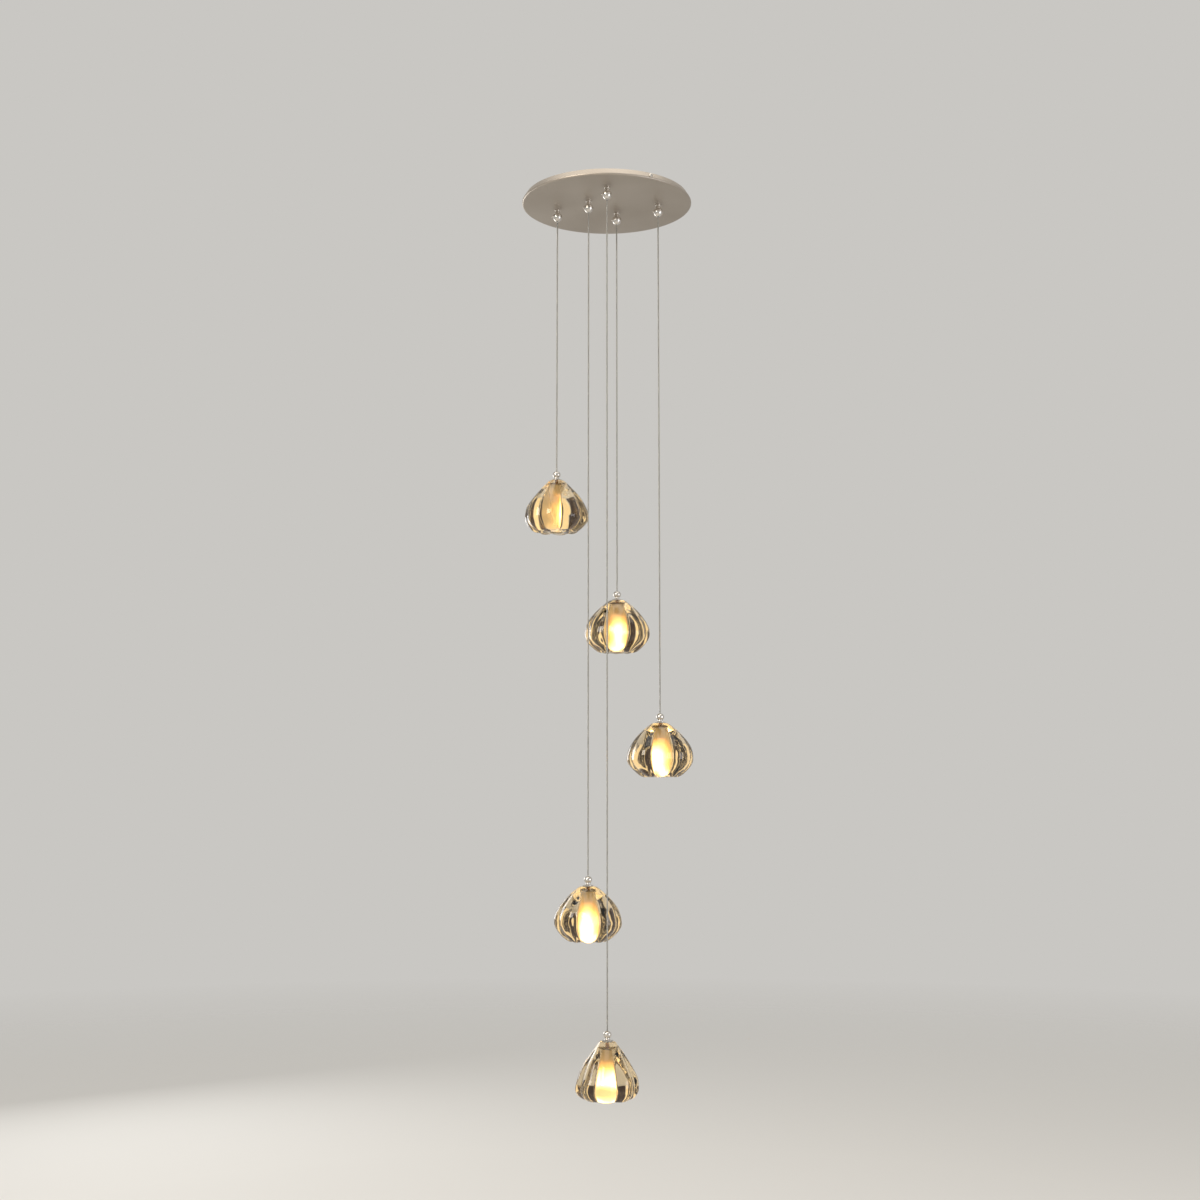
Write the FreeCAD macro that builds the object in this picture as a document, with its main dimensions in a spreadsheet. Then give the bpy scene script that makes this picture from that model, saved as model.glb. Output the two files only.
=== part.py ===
import FreeCAD, Part
import math
import os
import re
import Sketcher

# Cluster pendant: a flat round ceiling canopy from which five lobed crystal shades hang on thin
# cords at five heights. Millimetres, +Z up. The origin is the canopy's centre on the ceiling plane,
# so the whole lamp lies below Z = 0. Drops are numbered from the highest shade to the lowest.

doc = FreeCAD.newDocument("cluster_pendant")
sheet = doc.addObject("Spreadsheet::Sheet", "sizes")

# Driving sizes
drivingSizes = {
    # canopy: a shallow spun pan, its rim leaning in towards the ceiling
    "canopy_radius": 150,
    "canopy_rim_lean": 6,
    "canopy_height": 13,
    "canopy_sheet": 1,
    # crossbar that is screwed to the ceiling, and the side screws that hold the canopy on it
    "bar_azimuth": -60,
    "bar_width": 25,
    "bar_thickness": 1.5,
    "bar_rim_gap": 2,
    "ear_thickness": 2,
    "ceiling_screw_pcd": 80,
    "ceiling_hole_radius": 2.5,
    "side_screw_radius": 2,
    "side_screw_drop": 6.5,
    "side_head_radius": 3.5,
    "side_head_height": 3,
    # cord grip: threaded stem through the canopy, lock nut inside, domed nut outside
    "stem_radius": 4,
    "stem_bore_radius": 1.6,
    "stem_reach": 9,
    "collar_radius": 5.4,
    "collar_height": 1.5,
    "lock_nut_radius": 7,
    "lock_nut_height": 2.5,
    "stem_stand_out": 0.3,
    "nut_radius": 8.2,
    "nut_height": 12,
    "nut_nose_radius": 3.3,
    "nut_shoulder": 3,
    "nut_rounding": 1,
    "thread_depth": 5.5,
    "grip_screw_radius": 1.4,
    "grip_screw_stand_out": 1.6,
    "grip_screw_chamfer": 0.4,
    # ball-shaped sleeve that the cord hangs from inside the domed nut
    "ball_radius": 2.6,
    "socket_gap": 0.3,
    "socket_lip_angle": 57,
    # cord
    "cord_radius": 1.2,
    "cord_entry": 5,
    # cap, nipple and washers that carry the crystal
    "cap_height": 15,
    "cap_ball_radius": 6.8,
    "cap_ball_height": 9.5,
    "cap_neck_radius": 4,
    "cap_neck_height": 3.6,
    "cap_flange_radius": 7.4,
    "cap_flange_height": 1.2,
    "cap_top_radius": 1.9,
    "cap_cove": 0.4,
    "washer_radius": 9,
    "washer_height": 1.5,
    "nipple_radius": 3,
    "nipple_bore_radius": 1.4,
    "nipple_engagement": 5,
    # lamp holder and plug-in capsule lamp
    "holder_radius": 8,
    "holder_height": 12,
    "holder_chamfer": 1,
    "pin_spacing": 4,
    "pin_radius": 0.4,
    "pin_depth": 7,
    "pin_root": 1,
    "lamp_base_radius": 5.2,
    "lamp_base_height": 9,
    "lamp_radius": 6.5,
    "lamp_height": 40,
    "lamp_edge": 4,
    "lamp_shoulder": 1,
    # crystal shades: what all of them share
    "glass_height": 92,
    "glass_seat_radius": 13,
    "glass_crown": 14,
    "glass_bore_radius": 3.4,
    "cavity_radius": 10,
    "lobes": 8,
    # crystal shades: the three forms that they are blown in
    "plump_radius": 57.5,
    "plump_widest_depth": 60,
    "plump_mouth_radius": 33,
    "plump_shoulder_power": 0.9,
    "plump_groove_share": 0.085,
    "flared_radius": 57.5,
    "flared_widest_depth": 66,
    "flared_mouth_radius": 39,
    "flared_shoulder_power": 1,
    "flared_groove_share": 0.085,
    "bell_radius": 52.5,
    "bell_widest_depth": 76,
    "bell_mouth_radius": 41,
    "bell_shoulder_power": 1.05,
    "bell_groove_share": 0.11,
    # light-duty electrical parts that lie on the canopy's floor
    "driver_length": 100,
    "driver_width": 32,
    "driver_height": 9,
    "driver_corner": 3,
    "driver_azimuth": 55,
    "driver_rim_distance": 50,
    "block_length": 30,
    "block_width": 15,
    "block_height": 8.5,
    "block_gap": 4,
    "hub_x": 52,
    "hub_y": 8,
    "hub_length": 46,
    "hub_width": 14,
    "hub_height": 8.5,
    "port_spacing": 10,
    "lead_radius": 0.8,
    "lead_level": 6.2,
    "lead_bend": 2.8,
    # small clearances
    "fit_gap": 0.05,
    "clamp_gap": 0.1,
    # where each cord leaves the canopy
    "drop_x_1": -88,
    "drop_y_1": 22,
    "drop_x_2": 18,
    "drop_y_2": 38,
    "drop_x_3": 91,
    "drop_y_3": -4,
    "drop_x_4": -32,
    "drop_y_4": -24,
    "drop_x_5": 0,
    "drop_y_5": -90,
    # how far below the ceiling each glass begins
    "drop_length_1": 505,
    "drop_length_2": 715,
    "drop_length_3": 931,
    "drop_length_4": 1205,
    "drop_length_5": 1450,
    # how each glass is turned about its cord
    "glass_angle_1": -10,
    "glass_angle_2": 0,
    "glass_angle_3": 0,
    "glass_angle_4": 0,
    "glass_angle_5": 0,
}
drops = range(1, 6)
glassForms = {1: "flared", 2: "plump", 3: "plump", 4: "plump", 5: "bell"}

for row, (name, size) in enumerate(drivingSizes.items(), start=1):
    sheet.set(f"A{row}", name)
    sheet.set(f"B{row}", str(size))
    sheet.setAlias(f"B{row}", name)
doc.recompute()


# Names of sizes inside a formula
def tied(formula):
    """Give each size in a formula its sheet, so that an object can be bound to it."""
    def named(word):
        return "sizes." + word[0] if word[0] in drivingSizes else word[0]
    return re.sub(r"[a-z][a-z_0-9]*", named, formula)


def value(formula):
    return float(sheet.evalExpression(formula))


# Sizes and heights that several pieces share
canopyTopRadius = "(canopy_radius - canopy_rim_lean)"
canopyFloor = "-(canopy_height - canopy_sheet)"
stemTop = f"{canopyFloor} + lock_nut_height + stem_stand_out"
nutTop = "-(canopy_height + stem_reach)"
nutNose = f"{nutTop} - nut_height"
pivot = f"({nutNose} + (ball_radius + socket_gap) * cos(socket_lip_angle))"
washerTop = "washer_height"
capTop = "(washer_height + cap_height)"
crownUnderside = "-glass_crown"
holderTop = f"{crownUnderside} - washer_height"
holderBottom = f"{holderTop} - holder_height"
lampBaseBottom = f"{holderBottom} - lamp_base_height"


# Builders
def place(piece, x="0", y="0", z="0", turn="0"):
    upright = FreeCAD.Vector(0, 0, 1)
    piece.Placement = FreeCAD.Placement(FreeCAD.Vector(), FreeCAD.Rotation(upright, value(turn)))
    piece.setExpression("Placement.Base.x", tied(x))
    piece.setExpression("Placement.Base.y", tied(y))
    piece.setExpression("Placement.Base.z", tied(z))
    piece.setExpression("Placement.Rotation.Angle", tied(turn))
    return piece


def newBody(label):
    body = doc.addObject("PartDesign::Body", label)
    body.Label = label
    return body


def newSketch(body, role):
    sketch = body.newObject("Sketcher::SketchObject", "Sketch")
    plane = [feature for feature in body.Origin.OriginFeatures if feature.Role == role]
    sketch.AttachmentSupport = [(plane[0], "")]
    sketch.MapMode = "FlatFace"
    return sketch


def pin(sketch, curve, end, point):
    """Bind one point of a sketch to its two formulas; a point on an axis is held on that axis."""
    for way, axis, formula in (("DistanceX", -2, point[0]), ("DistanceY", -1, point[1])):
        if formula == "0":
            sketch.addConstraint(Sketcher.Constraint("PointOnObject", curve, end, axis))
        else:
            index = sketch.addConstraint(Sketcher.Constraint(way, -1, 1, curve, end, value(formula)))
            sketch.setExpression(f"Constraints[{index}]", tied(formula))


def outline(sketch, points):
    """Draw a closed outline. A point marked "bend" lies on the arc that joins its neighbours."""
    corners = [index for index, point in enumerate(points) if len(point) == 2]
    first = sketch.GeometryCount
    for order, index in enumerate(corners):
        after = corners[(order + 1) % len(corners)]
        ends = [FreeCAD.Vector(value(points[at][0]), value(points[at][1]), 0) for at in (index, after)]
        if (index + 1) % len(points) == after:
            sketch.addGeometry(Part.LineSegment(*ends), False)
            continue
        bend = points[(index + 1) % len(points)]
        middle = FreeCAD.Vector(value(bend[0]), value(bend[1]), 0)
        sketch.addGeometry(Part.Arc(ends[0], middle, ends[1]), False)
    # an arc is kept counter-clockwise, so its ends are told apart by where they lie
    starts = []
    for order, index in enumerate(corners):
        corner = FreeCAD.Vector(value(points[index][0]), value(points[index][1]), 0)
        swapped = sketch.getPoint(first + order, 1).distanceToPoint(corner) > 1e-6
        starts.append(2 if swapped else 1)
    for order, index in enumerate(corners):
        nextOrder = (order + 1) % len(corners)
        sketch.addConstraint(Sketcher.Constraint(
            "Coincident", first + order, 3 - starts[order], first + nextOrder, starts[nextOrder]))
    for order, index in enumerate(corners):
        pin(sketch, first + order, starts[order], points[index])
    for order, index in enumerate(corners):
        bend = points[(index + 1) % len(points)]
        if len(bend) == 3:
            mark = sketch.addGeometry(Part.Point(FreeCAD.Vector(value(bend[0]), value(bend[1]), 0)), True)
            pin(sketch, mark, 1, bend)
            sketch.addConstraint(Sketcher.Constraint("PointOnObject", mark, 1, first + order))


def turned(label, points, about="V_Axis"):
    """A turned piece: its outline carried round the upright axis, or round X with H_Axis."""
    body = newBody(label)
    sketch = newSketch(body, "XZ_Plane")
    outline(sketch, points)
    revolution = body.newObject("PartDesign::Revolution", "Revolution")
    revolution.Profile = sketch
    revolution.ReferenceAxis = (sketch, [about])
    revolution.Angle = 360
    return body


def padded(label, points, depth, role="XY_Plane", both=False):
    """An outline raised by depth, upwards from the plane or half to each side of it."""
    body = newBody(label)
    sketch = newSketch(body, role)
    outline(sketch, points)
    pad = body.newObject("PartDesign::Pad", "Pad")
    pad.Profile = sketch
    pad.setExpression("Length", tied(depth))
    pad.Midplane = both
    return body


def drilled(body, holes, role="XY_Plane", turn="0", level="0", depth=None):
    """Round holes in a body, each given by two coordinates and a radius.

    They go right through to both sides of the sketch's plane, or to depth on one side of it. The
    plane may be turned about Z or raised to a level.
    """
    sketch = newSketch(body, role)
    sketch.AttachmentOffset = FreeCAD.Placement(
        FreeCAD.Vector(0, 0, value(level)), FreeCAD.Rotation(FreeCAD.Vector(0, 1, 0), value(turn)))
    sketch.setExpression("AttachmentOffset.Rotation.Angle", tied(turn))
    sketch.setExpression("AttachmentOffset.Base.z", tied(level))
    for across, up, radius in holes:
        centre = FreeCAD.Vector(value(across), value(up), 0)
        circle = sketch.addGeometry(Part.Circle(centre, FreeCAD.Vector(0, 0, 1), value(radius)), False)
        pin(sketch, circle, 3, (across, up))
        index = sketch.addConstraint(Sketcher.Constraint("Radius", circle, value(radius)))
        sketch.setExpression(f"Constraints[{index}]", tied(radius))
    doc.recompute()
    before = body.Shape.Volume
    pocket = body.newObject("PartDesign::Pocket", "Holes")
    pocket.Profile = sketch
    if depth is None:
        pocket.Type = "ThroughAll"
        pocket.Midplane = True
    else:
        pocket.setExpression("Length", tied(depth))
    doc.recompute()
    if body.Shape.Volume >= before:
        raise ValueError(f"{body.Label}: the holes cut nothing")
    return body


def rectangle(width, height, left=None, bottom=None):
    """Corners of a rectangle, centred on each axis where no edge is given."""
    left = left or f"-({width}) / 2"
    bottom = bottom or f"-({height}) / 2"
    right = f"{left} + ({width})"
    top = f"{bottom} + ({height})"
    return [(left, bottom), (right, bottom), (right, top), (left, top)]


def grouped(label, pieces):
    """Identical small pieces kept together as separate solids of one node."""
    group = doc.addObject("Part::Compound", label)
    group.Label = label
    group.Links = pieces
    return group


def shaped(label, shape):
    piece = doc.addObject("Part::Feature", label)
    piece.Label = label
    piece.Shape = shape
    return piece


nodes = []


# Canopy
sideScrewHole = [("0", "-side_screw_drop", "side_screw_radius + fit_gap")]


def makeCanopy():
    inner = "canopy_radius - canopy_sheet"
    topInner = f"{canopyTopRadius} - canopy_sheet"
    body = turned("canopy", [
        ("0", "-canopy_height"),
        ("canopy_radius", "-canopy_height"),
        (canopyTopRadius, "0"),
        (topInner, "0"),
        (inner, canopyFloor),
        ("0", canopyFloor),
    ])
    grips = [(f"drop_x_{n}", f"drop_y_{n}", "stem_radius + fit_gap") for n in drops]
    drilled(body, grips)
    return drilled(body, sideScrewHole, role="YZ_Plane", turn="bar_azimuth")


# Crossbar: a flat strip against the ceiling with an ear bent down at each end
def makeCrossbar():
    reach = f"{canopyTopRadius} - canopy_sheet - bar_rim_gap"
    earInside = f"{reach} - ear_thickness"
    earBottom = "-(side_screw_drop * 2 - bar_thickness)"
    body = padded("crossbar", [
        (f"-({reach})", "0"),
        (f"-({reach})", earBottom),
        (f"-({earInside})", earBottom),
        (f"-({earInside})", "-bar_thickness"),
        (earInside, "-bar_thickness"),
        (earInside, earBottom),
        (reach, earBottom),
        (reach, "0"),
    ], "bar_width", role="XZ_Plane", both=True)
    drilled(body, [(f"{side} * ceiling_screw_pcd / 2", "0", "ceiling_hole_radius") for side in (-1, 1)])
    drilled(body, sideScrewHole, role="YZ_Plane")
    return place(body, turn="bar_azimuth")


# Side screws: domed heads just outside the leaning rim, shanks through it into the bar's ears
def makeSideScrews():
    lowestRim = "canopy_rim_lean / canopy_height * (side_screw_drop + side_head_radius)"
    rimAtHead = f"{canopyTopRadius} + {lowestRim}"
    headBack = f"{rimAtHead} + fit_gap"
    headFront = f"{headBack} + side_head_height"
    shankEnd = f"{canopyTopRadius} - canopy_sheet - bar_rim_gap - ear_thickness * 2"
    screws = []
    for side in range(2):
        screw = turned(f"side_screw_{side + 1}", [
            (shankEnd, "0"),
            (shankEnd, "side_screw_radius"),
            (headBack, "side_screw_radius"),
            (headBack, "side_head_radius"),
            (f"{headBack} + side_head_height * 0.7", "side_head_radius * 0.85", "bend"),
            (headFront, "side_head_radius * 0.55"),
            (headFront, "0"),
        ], about="H_Axis")
        screws.append(place(screw, z="-side_screw_drop", turn=f"bar_azimuth + {180 * side}"))
    return grouped("canopy_side_screws", screws)


# Cord grips
def makeGripStem(number):
    """Threaded tube with a collar that seats under the canopy."""
    foot = f"{nutTop} - thread_depth"
    body = turned(f"grip_stem_{number}", [
        ("stem_bore_radius", foot),
        ("stem_radius", foot),
        ("stem_radius", "-(canopy_height + collar_height)"),
        ("collar_radius", "-(canopy_height + collar_height)"),
        ("collar_radius", "-canopy_height"),
        ("stem_radius", "-canopy_height"),
        ("stem_radius", stemTop),
        ("stem_bore_radius", stemTop),
    ])
    return place(body, f"drop_x_{number}", f"drop_y_{number}")


def makeGripNut(number):
    """Domed nut; its nose holds the ball sleeve in a rounded socket with an open lip."""
    bore = "stem_radius + fit_gap"
    socket = "ball_radius + socket_gap"
    shoulder = f"{nutTop} - nut_shoulder"
    halfLip = "(socket_lip_angle + 90) / 2"
    boreEnd = f"{nutTop} - thread_depth - clamp_gap"
    body = turned(f"grip_nut_{number}", [
        (bore, nutTop),
        ("nut_radius - nut_rounding", nutTop),
        ("nut_radius - nut_rounding * 0.3", f"{nutTop} - 0.3 * nut_shoulder", "bend"),
        ("nut_radius", shoulder),
        ("nut_nose_radius + (nut_radius - nut_nose_radius) * 0.76",
         f"{nutNose} + (nut_height - nut_shoulder) * 0.45", "bend"),
        ("nut_nose_radius", nutNose),
        (f"({socket}) * sin(socket_lip_angle)", nutNose),
        (f"({socket}) * sin({halfLip})", f"{pivot} - ({socket}) * cos({halfLip})", "bend"),
        (socket, pivot),
        (socket, boreEnd),
        (bore, boreEnd),
    ])
    screwHole = [("0", f"{nutTop} - nut_shoulder", "grip_screw_radius + fit_gap")]
    drilled(body, screwHole, role="YZ_Plane", depth="nut_radius * 2")
    return place(body, f"drop_x_{number}", f"drop_y_{number}")


def makeGripScrews():
    """Small grub screws that lock each nut; they stand out on the left of the dome."""
    screws = []
    for number in drops:
        inside = "-(stem_radius + clamp_gap)"
        outside = "-(nut_radius + grip_screw_stand_out)"
        screw = turned(f"grip_screw_{number}", [
            (inside, "0"),
            (inside, "grip_screw_radius"),
            (f"{outside} + grip_screw_chamfer", "grip_screw_radius"),
            (outside, "grip_screw_radius - grip_screw_chamfer"),
            (outside, "0"),
        ], about="H_Axis")
        screws.append(place(screw, f"drop_x_{number}", f"drop_y_{number}", f"{nutTop} - nut_shoulder"))
    return grouped("grip_set_screws", screws)


def makeLockNuts():
    """Hexagon nuts that clamp the stems on the canopy's floor."""
    nuts = []
    for number in drops:
        corners = [(f"lock_nut_radius * cos({angle})", f"lock_nut_radius * sin({angle})")
                   for angle in range(0, 360, 60)]
        nut = padded(f"lock_nut_{number}", corners, "lock_nut_height")
        drilled(nut, [("0", "0", "stem_radius + fit_gap")])
        nuts.append(place(nut, f"drop_x_{number}", f"drop_y_{number}", canopyFloor))
    return grouped("grip_lock_nuts", nuts)


# What hangs from each grip
def makeBall(number):
    ball = doc.addObject("Part::Sphere", f"cord_sleeve_{number}")
    ball.Label = f"cord_sleeve_{number}"
    ball.setExpression("Radius", tied("ball_radius"))
    return place(ball, f"drop_x_{number}", f"drop_y_{number}", pivot)


def makeCord(number):
    """One straight run of clear cord from the sleeve into the cap."""
    top = f"{pivot} - ball_radius"
    bottom = f"-drop_length_{number} + {capTop} - cord_entry"
    cord = doc.addObject("Part::Cylinder", f"cord_{number}")
    cord.Label = f"cord_{number}"
    cord.setExpression("Radius", tied("cord_radius"))
    cord.setExpression("Height", tied(f"{top} - ({bottom})"))
    return place(cord, f"drop_x_{number}", f"drop_y_{number}", bottom)


def hung(piece, number, turn="0"):
    """Put a piece of a pendant at its drop; its own zero height is the top of the glass."""
    return place(piece, f"drop_x_{number}", f"drop_y_{number}", f"-drop_length_{number}", turn)


def makeCap(number):
    """Ball-topped chrome cap: cord bore from above, nipple thread from below."""
    cordBore = "cord_radius + clamp_gap"
    thread = "nipple_radius + fit_gap"
    entryEnd = f"{capTop} - cord_entry - clamp_gap"
    ballMiddle = f"{washerTop} + cap_ball_height"
    neckTop = f"{washerTop} + cap_neck_height"
    threadTop = f"{washerTop} + nipple_engagement + clamp_gap"
    body = turned(f"cap_{number}", [
        (thread, washerTop),
        ("cap_flange_radius", washerTop),
        ("cap_flange_radius", f"{washerTop} + cap_flange_height * 0.5"),
        ("cap_neck_radius + cap_cove * 2", f"{washerTop} + cap_flange_height + cap_cove", "bend"),
        ("cap_neck_radius", neckTop),
        ("cap_neck_radius", f"{neckTop} + cap_cove"),
        ("cap_ball_radius", ballMiddle, "bend"),
        ("cap_top_radius", capTop),
        (cordBore, capTop),
        (cordBore, entryEnd),
        ("nipple_bore_radius", entryEnd),
        ("nipple_bore_radius", threadTop),
        (thread, threadTop),
    ])
    return hung(body, number)


def makeWashers(number):
    """Two soft washers: one between cap and crystal, one between crystal and lamp holder."""
    rings = []
    for name, low in (("upper", "0"), ("lower", holderTop)):
        ring = doc.addObject("Part::Cut", f"{name}_washer_{number}")
        ring.Base = doc.addObject("Part::Cylinder", "Disc")
        ring.Tool = doc.addObject("Part::Cylinder", "Hole")
        ring.Base.setExpression("Radius", tied("washer_radius"))
        ring.Tool.setExpression("Radius", tied("nipple_radius + fit_gap"))
        for cylinder in (ring.Base, ring.Tool):
            cylinder.setExpression("Height", tied("washer_height"))
        rings.append(hung(ring, number))
        ring.setExpression("Placement.Base.z", tied(f"-drop_length_{number} + {low}"))
    return grouped(f"seat_washers_{number}", rings)


def makeNipple(number):
    """Threaded tube that ties cap, crystal and lamp holder together."""
    top = f"{washerTop} + nipple_engagement"
    bottom = f"{holderTop} - nipple_engagement"
    body = turned(f"nipple_{number}", [
        ("nipple_bore_radius", bottom),
        ("nipple_radius", bottom),
        ("nipple_radius", top),
        ("nipple_bore_radius", top),
    ])
    return hung(body, number)


def makeHolder(number):
    """Ceramic two-pin holder that screws on the nipple and clamps the crystal's crown."""
    thread = "nipple_radius + fit_gap"
    threadEnd = f"{holderTop} - nipple_engagement - clamp_gap"
    body = turned(f"lamp_holder_{number}", [
        ("0", holderBottom),
        ("holder_radius - holder_chamfer", holderBottom),
        ("holder_radius", f"{holderBottom} + holder_chamfer"),
        ("holder_radius", f"{holderTop} - holder_chamfer"),
        ("holder_radius - holder_chamfer", holderTop),
        (thread, holderTop),
        (thread, threadEnd),
        ("0", threadEnd),
    ])
    tools = []
    for side in ("-", ""):
        hole = doc.addObject("Part::Cylinder", "PinHole")
        hole.setExpression("Radius", tied("pin_radius + fit_gap"))
        hole.setExpression("Height", tied("pin_depth + clamp_gap"))
        tools.append(place(hole, f"{side}pin_spacing / 2", "0", holderBottom))
    body.Label = f"holder_blank_{number}"
    holes = doc.addObject("Part::MultiFuse", "PinHoles")
    holes.Shapes = tools
    holder = doc.addObject("Part::Cut", f"lamp_holder_{number}")
    holder.Label = f"lamp_holder_{number}"
    holder.Base = body
    holder.Tool = holes
    return hung(holder, number)


def makeLamp(number):
    """Plug-in capsule lamp: two pins, a narrower base and a round-ended body."""
    lampBottom = f"{lampBaseBottom} - lamp_height"
    body = turned(f"lamp_glass_{number}", [
        ("0", lampBottom),
        ("lamp_radius - lamp_edge", lampBottom),
        ("lamp_radius - lamp_edge * 0.293", f"{lampBottom} + lamp_edge * 0.293", "bend"),
        ("lamp_radius", f"{lampBottom} + lamp_edge"),
        ("lamp_radius", f"{lampBaseBottom} - lamp_shoulder"),
        ("lamp_base_radius", lampBaseBottom),
        ("lamp_base_radius", holderBottom),
        ("0", holderBottom),
    ])
    pieces = [body]
    for side in ("-", ""):
        prong = doc.addObject("Part::Cylinder", "Prong")
        prong.setExpression("Radius", tied("pin_radius"))
        prong.setExpression("Height", tied("pin_depth + pin_root"))
        pieces.append(place(prong, f"{side}pin_spacing / 2", "0", f"{holderBottom} - pin_root"))
    lamp = doc.addObject("Part::MultiFuse", f"lamp_{number}")
    lamp.Label = f"lamp_{number}"
    lamp.Shapes = pieces
    return hung(lamp, number)


# Crystal shade
def glassRadius(depth, form):
    """Half width at a depth below the crown: a sine rise to the widest ring, then a cosine fall."""
    widest = value(f"{form}_widest_depth")
    swell = value(f"{form}_radius - glass_seat_radius")
    tuck = value(f"{form}_radius - {form}_mouth_radius")
    if depth <= widest:
        turn = math.pi / 2 * (depth / widest) ** value(f"{form}_shoulder_power")
        return value("glass_seat_radius") + swell * math.sin(turn)
    share = (depth - widest) / (value("glass_height") - widest)
    return value(f"{form}_radius") - tuck * (1 - math.cos(math.pi / 2 * share))


def lobedRing(depth, form):
    """Closed ring of one arc per lobe; the grooves between lobes fade out at the crown."""
    lobes = int(value("lobes"))
    crest = glassRadius(depth, form)
    fade = math.sin(math.pi / 2 * min(1, depth / value(f"{form}_widest_depth") * 1.6))
    groove = crest * (1 - value(f"{form}_groove_share") * fade)
    step = 2 * math.pi / lobes

    def at(radius, angle):
        return FreeCAD.Vector(radius * math.cos(angle), radius * math.sin(angle), -depth)

    arcs = []
    for lobe in range(lobes):
        middle = lobe * step
        before = at(groove, middle - step / 2)
        after = at(groove, middle + step / 2)
        arcs.append(Part.Arc(before, at(crest, middle), after).toShape())
    return Part.Wire(arcs)


def makeShade(number):
    """Thick lobed crystal, lofted through rings, with the lamp's cavity bored up from the mouth."""
    form = glassForms[number]
    widest = value(f"{form}_widest_depth")
    height = value("glass_height")
    depths = [widest * share for share in (0, 0.06, 0.2, 0.4, 0.62, 0.84, 1)]
    depths += [widest + (height - widest) * share for share in (0.3, 0.58, 0.82, 1)]
    glass = Part.makeLoft([lobedRing(depth, form) for depth in depths], True, False)
    cavityHeight = height - value("glass_crown")
    cavity = Part.makeCylinder(value("cavity_radius"), cavityHeight, FreeCAD.Vector(0, 0, -height))
    bore = Part.makeCylinder(value("glass_bore_radius"), height, FreeCAD.Vector(0, 0, -height))
    return hung(shaped(f"shade_{number}", glass.cut(cavity.fuse(bore))), number, f"glass_angle_{number}")


# Electrical parts inside the canopy
def tangentPlace(offset):
    """Point beside the driver: along the canopy's tangent at the driver's azimuth."""
    out = "(canopy_radius - driver_rim_distance)"
    return (f"{out} * cos(driver_azimuth) - ({offset}) * sin(driver_azimuth)",
            f"{out} * sin(driver_azimuth) + ({offset}) * cos(driver_azimuth)")


def makeDriver():
    case = padded("driver", rectangle("driver_length", "driver_width"), "driver_height")
    doc.recompute()
    uprights = [f"Edge{index + 1}" for index, edge in enumerate(case.Shape.Edges)
                if abs(edge.tangentAt(edge.FirstParameter).z) > 0.99]
    pad = case.Tip
    fillet = case.newObject("PartDesign::Fillet", "Fillet")
    fillet.Base = (pad, uprights)
    fillet.setExpression("Radius", tied("driver_corner"))
    x, y = tangentPlace("0")
    return place(case, x, y, canopyFloor, "driver_azimuth + 90")


def makeTerminalBlock():
    """Two-pole mains block with a wire hole and a screw well for each pole."""
    block = padded("terminal_block", rectangle("block_length", "block_width"), "block_height")
    wells = [(f"{side} * block_length / 4", f"{row} * block_width / 4", "block_width / 8")
             for side in (-1, 1) for row in (-1, 1)]
    drilled(block, wells, level="block_height", depth="block_height / 2")
    x, y = tangentPlace("driver_length / 2 + block_gap + block_length / 2")
    return place(block, x, y, canopyFloor, "driver_azimuth + 90")


def makeLeadHub():
    hub = padded("lead_hub", rectangle("hub_width", "hub_length"), "hub_height")
    return place(hub, "hub_x", "hub_y", canopyFloor)


def lead(points, bends):
    """Round lead along straight runs joined by tangent arcs, one bend radius per inner point."""
    places = [FreeCAD.Vector(*point) for point in points]
    edges = []
    start = places[0]
    for before, corner, after, radius in zip(places, places[1:], places[2:], bends):
        arriving = (corner - before).normalize()
        leaving = (after - corner).normalize()
        half = arriving.getAngle(leaving) / 2
        cut = radius * math.tan(half)
        first = corner - arriving * cut
        last = corner + leaving * cut
        inward = (leaving - arriving).normalize()
        middle = corner + inward * (radius / math.cos(half) - radius)
        edges.append(Part.LineSegment(start, first).toShape())
        edges.append(Part.Arc(first, middle, last).toShape())
        start = last
    edges.append(Part.LineSegment(start, places[-1]).toShape())
    path = Part.Wire(edges)
    along = (places[1] - places[0]).normalize()
    ring = Part.Wire([Part.Circle(places[0], along, value("lead_radius")).toShape()])
    tube = path.makePipeShell([ring], True, False)
    expected = math.pi * value("lead_radius") ** 2 * path.Length
    if abs(tube.Volume / expected - 1) > 0.01:
        raise ValueError("a lead's volume doesn't match its length")
    return tube


def gentle(before, corner, after):
    """Bend radius from the shorter run beside a corner."""
    arriving = FreeCAD.Vector(*corner) - FreeCAD.Vector(*before)
    leaving = FreeCAD.Vector(*after) - FreeCAD.Vector(*corner)
    return 0.45 * min(arriving.Length, leaving.Length) / math.tan(arriving.getAngle(leaving) / 2)


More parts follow.
